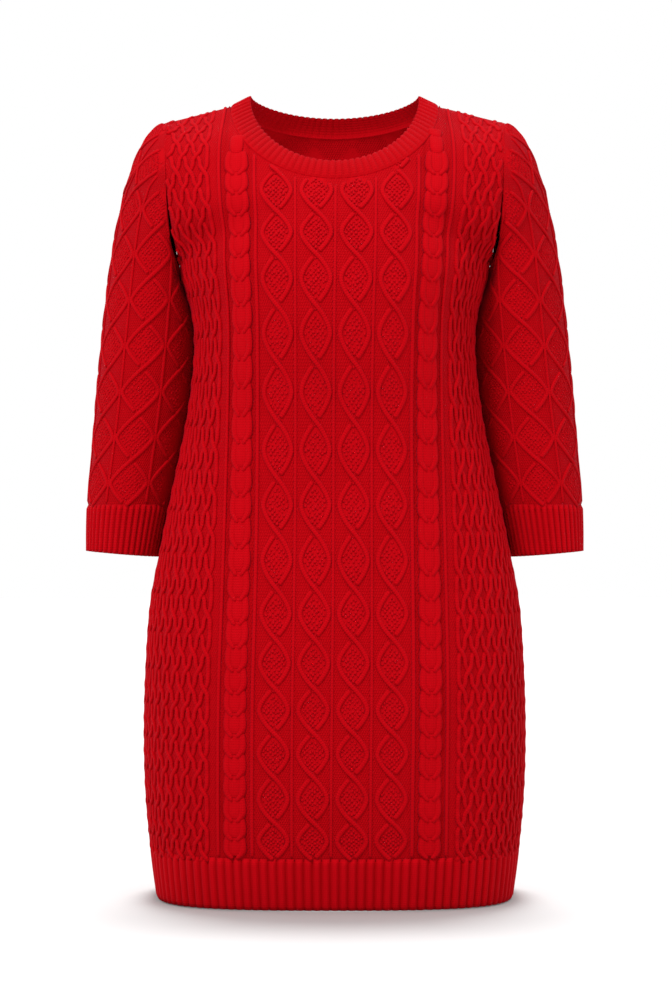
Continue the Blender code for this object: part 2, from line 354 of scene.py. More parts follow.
class Chart:
    """Where the knitting of one piece lies, by distance across it and repeats up it."""

    def __init__(self, grid, rows_up, middle, inside):
        self.grid, self.rows_up, self.inside_piece = grid, rows_up, inside
        normals = form_normals(grid)
        self.first_row, last_row = rows_up.min(), rows_up.max()
        self.levels = np.arange(self.first_row, last_row + ROW_STEP, ROW_STEP)
        columns = grid.shape[1]
        both = np.concatenate([grid, normals], axis=2)
        # seven numbers for each place: the point, the direction outwards, and 1 where there is cloth
        level_rows = np.empty((len(self.levels), columns, 7))
        for column in range(columns):
            heights = rows_up[:, column]
            for part in range(6):
                level_rows[:, column, part] = np.interp(self.levels, heights, both[:, column, part])
            level_rows[:, column, 6] = self.levels <= rows_up[-1, column] + 1e-6
        walked = walk(level_rows[:, :, :3], 1)
        self.across = walked - walked[:, [middle]]
        self.reach = (self.across[:, 0], self.across[:, -1])
        self.first_across = self.reach[0].min()
        distances = np.arange(self.first_across, self.reach[1].max() + ACROSS_STEP, ACROSS_STEP)
        self.table = np.empty((len(self.levels), len(distances), 7))
        for row in range(len(self.levels)):
            for part in range(7):
                values = level_rows[row, :, part]
                self.table[row, :, part] = np.interp(distances, self.across[row], values)

    def look_up(self, across, up):
        row = np.clip((up - self.first_row) / ROW_STEP, 0, self.table.shape[0] - 1.001)
        column = np.clip((across - self.first_across) / ACROSS_STEP, 0, self.table.shape[1] - 1.001)
        i, j = row.astype(int), column.astype(int)
        s, t = (row - i)[..., None], (column - j)[..., None]
        table = self.table
        low = table[i, j] * (1 - t) + table[i, j + 1] * t
        high = table[i + 1, j] * (1 - t) + table[i + 1, j + 1] * t
        return low * (1 - s) + high * s

    def place(self, across, up):
        """Points on the form, and the directions out of it."""
        found = self.look_up(across, up)
        return found[..., :3], unit(found[..., 3:6])

    def edges(self, up):
        return tuple(np.interp(up, self.levels, side) for side in self.reach)

    def inside(self, across, up, margin):
        """Whether each place lies on the piece, further than margin from its edges."""
        found = self.look_up(across, up)
        left, right = self.edges(up)
        on_rows = (across > left + margin) & (across < right - margin) & (found[..., 6] > 0.999)
        return on_rows & self.inside_piece(found[..., :3], margin)

    def column_rows(self, column, z):
        """The repeats up, and the distance across, of heights on one column of the grid."""
        up = np.interp(z, self.grid[:, column, 2], self.rows_up[:, column])
        return up, np.interp(up, self.levels, self.across[:, column])


print("a chart is a table with a row for each stitch and a column every", ACROSS_STEP, "mm")

# %% [markdown]
# ## Charts of the front and the back
# The repeats get shorter towards the hem, where the weight of the dress no longer stretches the
# knitting. The cloth spreads over the hips and the chest, and the pattern leans a little. Both are
# short tables. From the chest up, rows are counted by the length of the cloth instead, because
# there it turns over the shoulder.

# %% Repeats of the body
CROSSINGS = np.array((
    # height, repeats up
    (-865.0, -1.27),
    (-811.0, 0.0),
    (-770.0, 1.0),
    (-722.0, 2.0),
    (-675.5, 3.0),
    (-628.0, 4.0),
    (-576.5, 5.0),
    (-523.0, 6.0),
    (-464.0, 7.0),
    (-406.5, 8.0),
    (-346.0, 9.0),
    (-284.0, 10.0),
    (-223.5, 11.0),
    (-169.0, 12.0),
    (-122.0, 13.0),
))
SPREAD = np.array((
    # repeats up, stretch across, lean of the whole pattern in mm
    (-1.3, 1.03, -3.0),
    (1.4, 1.045, -2.7),
    (3.7, 1.05, -1.8),
    (5.7, 1.034, -0.8),
    (7.5, 1.02, -0.3),
    (9.3, 1.02, 0.0),
    (11.0, 1.043, 0.8),
    (12.0, 1.07, 1.6),
    (13.0, 1.078, 2.0),
    (14.0, 1.09, 2.0),
    (18.5, 1.10, 2.0),
))
print("the body has", int(CROSSINGS[-1, 1]), "repeats up to the chest")

# %% [markdown]
# ## Columns and rows of the body
# The mesh's columns are evenly spaced along the cloth, not along a straight line, so that the sides
# are as fine as the middle. One column meets the neck's corner exactly. The rows are level up to
# the armpit, and above it they fan out to the shoulder.

# %% Chart the front and the back
CHEST_Z, CHEST_REPEAT = -122.0, 50.0  # above here a repeat is this long up the cloth
HALF_COLUMNS = (26, 34)  # columns of cloth from the middle to the neck's corner, and on to the side
CORNER_SHARE = NECK_HALF_WIDTH / ARMHOLE_HALF_WIDTH
CHART_ROWS = (230, 90)  # rows of points below the armpit and above it


def even_shares():
    """Columns as shares of the half width, evenly spaced along the cloth round the hips."""
    turn = np.linspace(0.0, math.pi / 2, 2000)
    x, y = np.sin(turn) ** 0.8, 0.65 * np.cos(turn) ** 0.8
    along = np.concatenate([[0.0], np.cumsum(np.hypot(np.diff(x), np.diff(y)))])
    corner = np.interp(CORNER_SHARE, x, along)
    stops = np.concatenate([
        np.linspace(0.0, corner, HALF_COLUMNS[0] + 1)[:-1],
        np.linspace(corner, along[-1], HALF_COLUMNS[1] + 1),
    ])
    half = np.interp(stops, along, x)
    half[HALF_COLUMNS[0]] = CORNER_SHARE
    half[-1] = 1.0
    return np.concatenate([-half[:0:-1], half])


SHARES = even_shares()
MIDDLE = len(SHARES) // 2


def body_grid(side, low_z, tops, low_rows, high_rows):
    """Points of the outer form, with level rows to the armpit and rows fanned up to tops above it."""
    level = np.linspace(low_z, ARMPIT_Z, low_rows)[:, None] + 0 * SHARES
    turn = (1 - np.cos(math.pi * np.arange(1, high_rows + 1) / high_rows)) / 2
    z = np.concatenate([level, ARMPIT_Z + (tops - ARMPIT_Z) * turn[:, None]])
    x = SHARES * half_width(z)
    return np.stack([x, SIDES[side] * body_depth(side, x, z), z], axis=2)


def walked_to(height, z, walked):
    """How far up each column a height lies, walked along the cloth."""
    return np.array([np.interp(height, z[:, m], walked[:, m]) for m in range(z.shape[1])])


def chart_body(side):
    grid = body_grid(side, HEM_Z, shoulder_line(SHARES * ARMHOLE_HALF_WIDTH), *CHART_ROWS)
    z = grid[:, :, 2]
    walked = walk(grid, 0)
    chest_row = float(read(CROSSINGS, 1, CHEST_Z))
    past_chest = (walked - walked_to(CHEST_Z, z, walked)) / CHEST_REPEAT
    rows_up = np.where(z <= CHEST_Z, read(CROSSINGS, 1, z), chest_row + past_chest)
    if side == "back":  # seen from outside, the back's columns run the other way
        grid, rows_up = grid[:, ::-1], rows_up[:, ::-1]

    def inside(points, margin):
        x, z = points[..., 0], points[..., 2]
        below_neck = (np.abs(x) > NECK_HALF_WIDTH) | (z < neck_line(side, x) - margin)
        return below_neck & (z < shoulder_line(x) - 0.1 * margin)

    return Chart(grid, rows_up, MIDDLE, inside)


def laid_at(across, up):
    """Where a place of the pattern comes to lie on the cloth."""
    return across * read(SPREAD, 1, up) + read(SPREAD, 2, up)


def knit_at(across, up):
    """The place of the pattern at a place on the cloth."""
    return (across - read(SPREAD, 2, up)) / read(SPREAD, 1, up)


charts = {side: chart_body(side) for side in SIDES}
for side, chart in charts.items():
    print(side, "is", round(chart.edges(np.array([3.0]))[1][0] * 2), "mm of cloth across the hips")

# %% [markdown]
# ## Charts of the sleeves
# A sleeve's rings are ellipses that lean, so that the tube leaves the armhole and turns down. Its
# pattern starts above the cuff's ribs and is centred on the sleeve's front. We chart the wearer's
# left sleeve, and mirror everything that we lay on it for the other one.

# %% Chart a sleeve
CUFF_TOP_Z = -436.0
SLEEVE_REPEAT = 50.0
CAP_Z = -165.0  # above here the rows follow the cloth over the shoulder
RING_COLUMNS = 96
RING_STEPS = 8  # rows of points from one ring to the next
ARMHOLE_GAP = 0.3


def sleeve_rings(around):
    """The rings from the cuff up to the armhole, around from 0 at the armpit, forwards and over."""
    turn = 2 * math.pi * around
    rings = []
    for outer_x, outer_z, inner_z, clear, depth, behind in SLEEVE[::-1]:
        outer = np.array((outer_x, behind, outer_z))
        inner = np.array((float(side_x(inner_z, behind)) + clear, behind, inner_z))
        middle, half = (outer + inner) / 2, (outer - inner) / 2
        ring = middle - half * np.cos(turn)[:, None]
        ring[:, 1] -= depth * np.sin(turn)
        rings.append(ring)
    z = (SHOULDER_TIP_Z + ARMPIT_Z) / 2 - (SHOULDER_TIP_Z - ARMPIT_Z) / 2 * np.cos(turn)
    rings.append(np.stack([half_width(z) + ARMHOLE_GAP, -ARMHOLE_DEPTH * np.sin(turn), z], axis=1))
    return np.array(rings)


def fill_rings(rings):
    """Smooth rows between the rings."""
    slopes = np.gradient(rings, axis=0)
    rows = [rings[:1]]
    for low in range(len(rings) - 1):
        t = (np.arange(1, RING_STEPS + 1) / RING_STEPS)[:, None, None]
        rows.append(between(rings[low], rings[low + 1], slopes[low], slopes[low + 1], t))
    return np.concatenate(rows)


sleeve_grid = fill_rings(sleeve_rings(np.arange(RING_COLUMNS + 1) / RING_COLUMNS))


def chart_sleeve():
    z = sleeve_grid[:, :, 2]
    walked = walk(sleeve_grid, 0)
    cap_row = (CAP_Z - CUFF_TOP_Z) / SLEEVE_REPEAT
    past_cap = (walked - walked_to(CAP_Z, z, walked)) / SLEEVE_REPEAT
    rows_up = np.where(z <= CAP_Z, (z - CUFF_TOP_Z) / SLEEVE_REPEAT, cap_row + past_cap)
    return Chart(sleeve_grid, rows_up, RING_COLUMNS // 4, lambda points, margin: points[..., 0] > 0)


sleeve_chart = chart_sleeve()
round_cuff = [float(edge[0]) for edge in sleeve_chart.edges(np.array([-0.5]))]
print("the cuff is", round(round_cuff[1] - round_cuff[0]), "mm round")

# %% [markdown]
# ## Wool
# Every piece is knitted from the same matt red wool, but its face changes. On the flat ground the
# backs of the stitches show, as small bumps laid like bricks. Inside the diamonds is moss stitch,
# whose larger bumps we model, so the ground under them stays plain. Cables and ribs show the fronts
# of stitches, which are small V shapes. These are a few waves over the piece's own UV map, in
# millimetres, and a small class lets us write the waves as sums. A trace of sheen stands for the
# fuzz on the wool.

# %% A small language for shader maths
class Wire:
    """A value that runs between shader nodes. Sums of wires add Math nodes."""

    def __init__(self, recipe, socket):
        self.recipe, self.socket = recipe, socket

    def math(self, operation, *values):
        inputs = dict(enumerate((self, *values)))
        return self.recipe.add("ShaderNodeMath", {"operation": operation}, inputs)

    def __add__(self, other):
        return self.math("ADD", other)

    def __mul__(self, other):
        return self.math("MULTIPLY", other)

    def __sub__(self, other):
        return self.math("SUBTRACT", other)

    def __rsub__(self, other):
        return self.math("MULTIPLY", -1.0).math("ADD", other)

    __radd__, __rmul__ = __add__, __mul__


class Recipe:
    """A material and its nodes."""

    def __init__(self, name):
        self.material = bpy.data.materials.new(name)
        self.material.use_nodes = True
        self.tree = self.material.node_tree
        self.shader = self.tree.nodes["Principled BSDF"]

    def feed(self, socket, value):
        if isinstance(value, Wire):
            self.tree.links.new(value.socket, socket)
        else:
            socket.default_value = value

    def add(self, kind, settings=(), inputs=(), output=0):
        node = self.tree.nodes.new(kind)
        for name, value in dict(settings).items():
            setattr(node, name, value)
        for name, value in dict(inputs).items():
            self.feed(node.inputs[name], value)
        return Wire(self, node.outputs[output])

    def wave(self, place, length):
        """A cosine of that wavelength."""
        return (place * (2 * math.pi / length)).math("COSINE")


print("shader maths is written with", Wire.__name__, "and", Recipe.__name__)

# %% [markdown]
# ## One wool, two faces
# The red is painted darker in the hollows and brighter on the crests, which is painted shade, and it
# wanders a little from stitch to stitch as spun yarn does. We mix a shaded and a lit red by the
# height of the stitch and by the piece's own crest_and_shade attribute, which is high on the crests
# of ribs and strands and 0 in their hollows; both of these paint shade. Soft noise adds the yarn's
# own uneven tone. The height of the stitch also drives the bump. Only the base colour and the bump
# vary: the sheen and the roughness are the same all over, so they are set on the shader itself.

# %% Wool materials
# A shaded and a lit copy of the wool's red. The crest and stitch weights paint shade into hollows; the
# fuzz and patch weights are the yarn's own uneven tone.
SHADED_DEEP_RED = (0.26, 0.0004, 0.0014, 1.0)
LIT_BRIGHT_RED = (0.44, 0.0013, 0.0047, 1.0)
CREST_SHADE_TONE, STITCH_SHADE_TONE, FUZZ_TONE, PATCH_TONE, TONE_DROP = 0.46, 0.22, 0.34, 0.26, 0.28
FUZZ_RELIEF = 0.35
FUZZ_SCALE, PATCH_SCALE = 900.0, 28.0  # noise of about a millimetre, and of a few centimetres
FINISH = (
    ("Roughness", 0.9),
    ("Specular IOR Level", 0.12),
    ("Specular Tint", (1.0, 0.12, 0.2, 1.0)),
    ("Sheen Weight", 0.12),
    ("Sheen Roughness", 0.4),
    ("Sheen Tint", (1.0, 0.05, 0.12, 1.0)),
)
STITCH_WIDTH, STITCH_HEIGHT = 2.5, 2.78
LEG_SLANT = 2.4  # millimetres that a stitch's leg climbs for each stitch across
GROUND_RELIEF, CABLE_RELIEF = 0.9, 0.45


def wool(name, face, relief):
    """face(recipe, across, along) is the height of the stitches, about 0 to 1, and relief its depth.
    The height also paints shade into the stitches' hollows.
    """
    recipe = Recipe(name)
    uv = recipe.add("ShaderNodeUVMap", {"uv_map": "knit"})
    parts = recipe.add("ShaderNodeSeparateXYZ", inputs={0: uv})
    across, along = parts, Wire(recipe, parts.socket.node.outputs[1])
    place = recipe.add("ShaderNodeTexCoord", output=3)
    fine = {"Vector": place, "Scale": FUZZ_SCALE, "Detail": 3.0}
    fuzz = recipe.add("ShaderNodeTexNoise", inputs=fine)
    soft = {"Vector": place, "Scale": PATCH_SCALE, "Detail": 2.0}
    patches = recipe.add("ShaderNodeTexNoise", inputs=soft)
    height = face(recipe, across, along)
    crest_and_shade = recipe.add("ShaderNodeAttribute", {"attribute_name": "crest_and_shade"}, output=2)
    # Painted shade from the crest attribute and the stitch height, plus the yarn's uneven tone from
    # noise.
    shade_and_tone = crest_and_shade * CREST_SHADE_TONE + height * STITCH_SHADE_TONE + fuzz * FUZZ_TONE + patches * PATCH_TONE
    shade_and_tone = shade_and_tone - TONE_DROP
    red = recipe.add(
        "ShaderNodeMix",
        {"data_type": "RGBA", "clamp_factor": True},
        {0: shade_and_tone, 6: SHADED_DEEP_RED, 7: LIT_BRIGHT_RED},
        output=2,
    )
    bump_height = height + fuzz * FUZZ_RELIEF
    bump_inputs = {"Height": bump_height, "Distance": relief * MM, "Strength": 1.0}
    bump = recipe.add("ShaderNodeBump", inputs=bump_inputs)
    for socket, value in (("Base Color", red), ("Normal", bump), *FINISH):
        recipe.feed(recipe.shader.inputs[socket], value)
    return recipe.material


def ground_face(recipe, across, along):
    """Purl bumps like brickwork, and plain cloth where the piece's moss attribute is 1."""
    moss = recipe.add("ShaderNodeAttribute", {"attribute_name": "moss"}, output=2)
    purl = recipe.wave(across, STITCH_WIDTH) * recipe.wave(along, 2 * STITCH_HEIGHT)
    ladder = recipe.wave(along, STITCH_HEIGHT)
    plain = purl * 0.45 + ladder * 0.12 + 0.5
    return plain * (1.0 - moss) + 0.3 * moss


def cable_face(recipe, across, along):
    """Fronts of stitches: two slanting legs each, in V shapes along the strand."""
    legs = (across * (1 / STITCH_WIDTH)).math("PINGPONG", 0.5)
    return recipe.wave(along + legs * LEG_SLANT, STITCH_HEIGHT) * 0.25 + legs * 0.9 + 0.4


ground_wool = wool("ground_wool", ground_face, GROUND_RELIEF)
cable_wool = wool("cable_wool", cable_face, CABLE_RELIEF)
print("wool materials:", ground_wool.name, cable_wool.name)

# %% [markdown]
# ## From grids to cloth
# Every sheet starts as Blender's flat grid. Its vertices say which column and row they are, so we
# can move all of them at once to their places. These helpers read a mesh's vertices, write places,
# a UV map or an attribute to all of them at once, and mend a mesh that closes on itself.

# %% Helpers for meshes
def link_piece(name, mesh, material):
    mesh.materials.append(material)
    mesh.shade_smooth()
    piece = put(name, mesh)
    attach(piece, "root")
    return piece


def set_points(mesh, points):
    mesh.vertices.foreach_set("co", (points * MM).astype(np.float32).ravel())
    mesh.update()


def set_uv(mesh, uv):
    corners = np.empty(len(mesh.loops), np.int32)
    mesh.loops.foreach_get("vertex_index", corners)
    layer = mesh.uv_layers.new(name="knit")
    layer.data.foreach_set("uv", uv[corners].astype(np.float32).ravel())


def set_values(mesh, name, values):
    mesh.attributes.new(name, "FLOAT", "POINT").data.foreach_set("value", values.astype(np.float32))


def new_mesh(name, bm):
    """A mesh from a finished bmesh, with the places of its vertices."""
    mesh = bpy.data.meshes.new(name)
    bm.to_mesh(mesh)
    bm.free()
    flat = np.empty(len(mesh.vertices) * 3, np.float32)
    mesh.vertices.foreach_get("co", flat)
    return mesh, flat.reshape(-1, 3).astype(float)


def mend(mesh, weld=0.0, slivers=0.0):
    """Weld vertices that coincide, dissolve slivers, and turn the faces outwards."""
    bm = bmesh.new()
    bm.from_mesh(mesh)
    if weld:
        bmesh.ops.remove_doubles(bm, verts=bm.verts, dist=weld)
    if slivers:
        bmesh.ops.dissolve_degenerate(bm, edges=bm.edges, dist=slivers)
    bmesh.ops.recalc_face_normals(bm, faces=bm.faces)
    bm.to_mesh(mesh)
    bm.free()


def grid_mesh(name, columns, rows):
    """A flat grid's mesh, with the column and the row of each vertex."""
    bm = bmesh.new()
    bmesh.ops.create_grid(bm, x_segments=columns, y_segments=rows, size=0.5)
    mesh, flat = new_mesh(name, bm)
    flat = flat + 0.5
    return mesh, np.rint(flat[:, 0] * columns).astype(int), np.rint(flat[:, 1] * rows).astype(int)


print("vertices are placed in metres, so 1 mm is", MM)

# %% [markdown]
# ## Making a sheet
# The points are those of the outer face. A Solidify modifier gives the cloth its thickness,
# inwards, so that both faces and the edges are there.

# %% A sheet of cloth
CLOTH_DEPTH = 1.8  # the ground lies this far under the crests of the cables
CLOTH_THICK = 1.1


def make_sheet(name, points, uv, moss, crest_and_shade, mirror=False):
    """A sheet whose outer face goes through a grid of points, row by row."""
    mesh, column, row = grid_mesh(name, points.shape[1] - 1, points.shape[0] - 1)
    place = points[row, column]
    if mirror:
        place = place * (-1, 1, 1)
    set_points(mesh, place)
    set_uv(mesh, uv[row, column])
    set_values(mesh, "moss", moss[row, column])
    set_values(mesh, "crest_and_shade", crest_and_shade[row, column])
    if mirror:
        mesh.flip_normals()
    piece = link_piece(name, mesh, ground_wool)
    solid = piece.modifiers.new("thickness", "SOLIDIFY")
    solid.thickness = CLOTH_THICK * MM
    solid.offset = -1.0
    return piece


print("the cloth is", CLOTH_THICK, "mm thick")

# %% [markdown]
# ## The diamonds' wave
# Two strands cross at every whole repeat and bow apart between. The bow is a power curve: straight
# near the crossing and rounded at the widest place. It serves three times: for the strands'
# paths, for the area of moss stitch inside them, and again on the sleeves at another size.

# %% Diamonds
PITCH = 40.0  # from one column of diamonds to the next, before the cloth spreads
DIAMOND_REACH = 14.9
SLEEVE_PITCH = 47.6
SLEEVE_REACH = 21.5
ROUNDNESS, SLEEVE_ROUNDNESS = 1.6, 1.3
MOSS_FADE = 3.0  # millimetres over which the moss stitch begins


def bow(up, reach, roundness=ROUNDNESS):
    """How far a diamond's strands are from its middle."""
    phase = np.abs(2 * (up % 1.0) - 1)
    return reach * (1 - phase**roundness)


def moss_amount(across, up, pitch, reach, widest, roundness=ROUNDNESS):
    """1 on the moss stitch inside the diamonds, which stand every pitch, out to widest."""
    from_middle = np.abs((across % pitch) - pitch / 2)
    inside = np.clip((bow(up, reach, roundness) - from_middle) / MOSS_FADE, 0.0, 1.0)
    return inside * (np.abs(across) < widest)


print("diamonds are", 2 * DIAMOND_REACH, "mm wide, and", 2 * SLEEVE_REACH, "mm on the sleeves")


# %% [markdown]
# ## The ground cloth
# The ground is a thin sheet just under the crests. On the body its columns run up to the neck's
# seam and the shoulder, as the real panels are cut. Its UV map is in millimetres of unstretched
# knitting, so the stitches grow where the cloth is stretched.

# %% Ground of the body
GROUND_FOOT_Z = -812.0  # the ground goes down behind the top of the hem's ribs
GROUND_ROWS = (128, 50)  # rows of points below the armpit and above it
# Painted shade: the ground's crest_and_shade value, lower than a strand's, so the ground is painted
# darker.
GROUND_CREST_SHADE = 0.52  # the ground is a hollow between the cables
CHANNELS = (88.0, 112.2)  # a ladder of stretched stitches runs on both sides of the plait
CHANNEL_HALF = 2.4
LADDER_DEPTH = 0.7
# Painted shade: how much lighter the ground is painted under the moss stitch.
MOSS_CREST_SHADE = 0.35
SIDE_FILL, SIDE_REACH = 2.8, 22.0  # beside the sleeve the ground swells towards it
SIDE_FILL_FOOT_Z = -400.0
SEAM_LAP = 0.7


def ladder_amount(across):
    """1 in the middle of the ladders, 0 outside them."""
    nearest = np.min([np.abs(np.abs(across) - channel) for channel in CHANNELS], axis=0)
    return np.clip(1.4 - nearest / CHANNEL_HALF, 0.0, 1.0)


def mm_up(up):
    return up * ROWS_IN_REPEAT * STITCH_HEIGHT


def rows_and_columns(chart, grid):
    """The repeats up and the distance across of a grid whose columns are the chart's own."""
    up, across = np.empty(grid.shape[:2]), np.empty(grid.shape[:2])
    for column in range(grid.shape[1]):
        up[:, column], across[:, column] = chart.column_rows(column, grid[:, column, 2])
    return up, across


def from_seams(across):
    """How far each place is from the nearer side seam."""
    return np.minimum(across - across[:, :1], across[:, -1:] - across)


def lap_seams(points, side):
    """Let a panel's side edges reach past the seam, so that no light comes through it."""
    points[:, [0, -1], 1] = -SIDES[side] * SEAM_LAP
    return points


def make_body_ground(side):
    chart = charts[side]
    width = np.abs(SHARES) * ARMHOLE_HALF_WIDTH
    tops = np.where(width < NECK_HALF_WIDTH - 0.1, neck_line(side, width), shoulder_line(width))
    grid = body_grid(side, GROUND_FOOT_Z, tops, *GROUND_ROWS)
    if side == "back":
        grid = grid[:, ::-1]
    up, across = rows_and_columns(chart, grid)
    normals = form_normals(grid)
    knit_across = knit_at(across, up)
    moss = moss_amount(knit_across, up, PITCH, DIAMOND_REACH, 2 * PITCH)
    uv = np.stack([knit_across, mm_up(up)], axis=2)
    ladder = ladder_amount(knit_across)
    # Painted shade: the ground is painted darker than the strands' tops, darker still in the ladders,
    # and a little lighter under the moss.
    crest_and_shade = GROUND_CREST_SHADE * (1 - ladder) + MOSS_CREST_SHADE * moss
    z = grid[:, :, 2]
    beside_sleeve = np.clip(1 - from_seams(across) / SIDE_REACH, 0.0, 1.0)
    beside_sleeve = beside_sleeve * (z > SIDE_FILL_FOOT_Z) * (z < ARMPIT_Z)
    depth = CLOTH_DEPTH + LADDER_DEPTH * ladder - SIDE_FILL * beside_sleeve
    points = lap_seams(grid - normals * depth[..., None], side)
    return make_sheet(side + "_ground", points, uv, moss, crest_and_shade)


grounds = {side: make_body_ground(side) for side in SIDES}
print("ground cloth:", {side: len(piece.data.polygons) for side, piece in grounds.items()}, "faces")

# %% [markdown]
# ## Ribs
# Hem, cuffs and neckband are knitted two stitches up and two down, which pulls the cloth into
# rounded ridges with deep grooves. A rib is a cosine across the cloth, cut off above to flatten its
# top, and raised to a power to leave a narrow groove. There are eight vertices to a rib.

# %% Ribs of the hem and the cuffs
RIB_VERTICES = 8
RIB_HEIGHT, RIB_DEPTH = 3.1, 2.9
RIDGE_MIDDLE, RIDGE_SWING, RIDGE_POWER = 0.8, 0.76, 0.65
RIB_MESH_ROWS = 12
STITCHES_IN_RIB = 4
TOP_FADE, FOOT_FADE, FOOT_SHARE = 12, 60, 0.55  # how soon, going in, a rib rises to its full height


def ridge(across):
    """The height of a rib, across in ribs: 1 along its flat top, and near 0 in the groove."""
    return np.clip(RIDGE_MIDDLE + RIDGE_SWING * np.cos(2 * math.pi * across), 0.0, 1.0) ** RIDGE_POWER


def make_rib(name, chart, low, high, pitch, stretch=1.0, mirror=False, side=None):
    """Ribs from low to high repeats up, across the whole width of the piece."""
    up = np.linspace(low, high, RIB_MESH_ROWS + 1)[:, None]
    left, right = chart.edges(up)
    ribs = round(float((right - left).max()) / pitch / stretch)
    share = np.linspace(0.0, 1.0, ribs * RIB_VERTICES + 1)[None, :]
    across = left + (right - left) * share
    place, outward = chart.place(across, up + 0 * across)
    middle = -left[0, 0] / (right[0, 0] - left[0, 0])
    ribs_across = (share - middle) * ribs + 0 * up
    below_top = np.clip((high - up) * TOP_FADE, 0.0, 1.0)
    fade = below_top * np.clip((up - low) * FOOT_FADE + FOOT_SHARE, 0.0, 1.0)
    # The rib's height also paints shade: its grooves are painted dark and its tops light.
    crest_and_shade = ridge(ribs_across)
    groove = RIB_DEPTH * below_top + CLOTH_DEPTH * (1 - below_top)
    lift = RIB_HEIGHT * crest_and_shade * fade - groove
    uv = np.stack([ribs_across * STITCHES_IN_RIB * STITCH_WIDTH, mm_up(up) + 0 * across], axis=2)
    points = place + outward * lift[..., None]
    if side is not None:
        points = lap_seams(points, side)
    piece = make_sheet(name, points, uv, 0 * across, crest_and_shade + 0 * across, mirror)
    piece.data.materials[0] = cable_wool
    print(name, "has", ribs, "ribs")
    return piece


HEM_RIB = (-1.27, 0.03, 8.9, 1.075)  # from and to in repeats up, pitch in mm, stretch
hem_ribs = {
    side: make_rib(side + "_hem_rib", charts[side], *HEM_RIB, side=side)
    for side in SIDES
}

# %% [markdown]
# ## Laying strands
# A cable's strand is a half-round band on the ground, so it is a closed tube with a flat
# underside. We lay it along a path across and up a chart, cut it where the piece ends, and taper
# its ends to a point. Where it passes over another strand it rises, and where it passes under it
# sinks. Many strands become one mesh: a grid for each, placed at once and then welded.

# %% Strands
ROUND = ((-1.0, 0.0), (-0.8, 0.6), (-0.42, 0.91), (0.0, 1.0), (0.42, 0.91), (0.8, 0.6), (1.0, 0.0))
PLAIN = ((-1.0, 0.0), (-0.62, 0.78), (0.0, 1.0), (0.62, 0.78), (1.0, 0.0))
FLAT = ((-1.0, 0.0), (-0.88, 0.62), (-0.6, 0.93), (0.0, 1.0), (0.6, 0.93), (0.88, 0.62), (1.0, 0.0))
# Painted shade: the crest_and_shade value along a strand's top.
STRAND_CREST_SHADE = 0.84
BLUNT_END = 2.2  # millimetres over which a strand's end is rounded off
SUNK = 0.4  # how far a strand's underside is inside the ground
SHORTEST = 14.0  # millimetres; a shorter rest of a strand at the neck or a seam is left out
FEWEST_POINTS = 4
EDGE_MARGIN = 1.0  # how far a strand's middle stays from the piece's edge
CUT_MARGIN = 0.45  # and how much more at the neck and the shoulder, as a share of its width


def unstretched(across, up):
    return across


